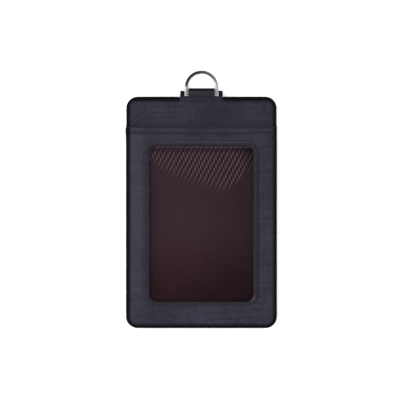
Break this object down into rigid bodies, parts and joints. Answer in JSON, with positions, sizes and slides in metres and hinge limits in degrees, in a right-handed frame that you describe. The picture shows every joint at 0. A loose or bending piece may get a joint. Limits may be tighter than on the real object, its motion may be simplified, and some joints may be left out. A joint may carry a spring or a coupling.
{
  "type": "fabric id holder",
  "caption": "Upright ID card holder in coated fabric, with a clear window over a sliding card and a swinging D-ring in a folded tab for a lanyard.",
  "frame": {"origin": "centre of the back cover's outer face", "axes": "+Z out of the front face, +Y up the holder towards the ring, +X to the right as seen from the front"},
  "size_m": [0.071, 0.1214, 0.0054],
  "materials": {
    "skin": "navy coated fabric with a fine cross grain, satin",
    "board": "plain grey-brown stiffening board",
    "welt": "dark bonded filler strip",
    "lining": "thin dark woven lining",
    "film": "clear flexible film, glossy",
    "edge_coat": "dark edge coating, soft gloss",
    "card": "blank maroon card, satin",
    "ring_chrome": "bright plated wire",
    "tab_skin": "coated fabric, a little darker than the body"
  },
  "bodies": {
    "holder": {"back_cover": "skin", "back_board": "board", "header_panel": "skin", "pocket_welt": "welt", "front_lining": "lining", "window_film": "film", "front_panel": "skin", "edge_coating": "edge_coat", "mouth_coating": "edge_coat", "ring_tab": "tab_skin"},
    "ring": {"d_ring": "ring_chrome"},
    "card": {"insert_card": "card"}
  },
  "joints": [
    {"name": "ring_swing", "type": "hinge", "parent": "holder", "child": "ring", "pos_m": [0, 0.0561, 0.0014], "axis": [1, 0, 0], "range_deg": [-108, 115]},
    {"name": "card_slide", "type": "slide", "parent": "holder", "child": "card", "axis": [0, 1, 0], "range_m": [0, 0.12]}
  ]
}
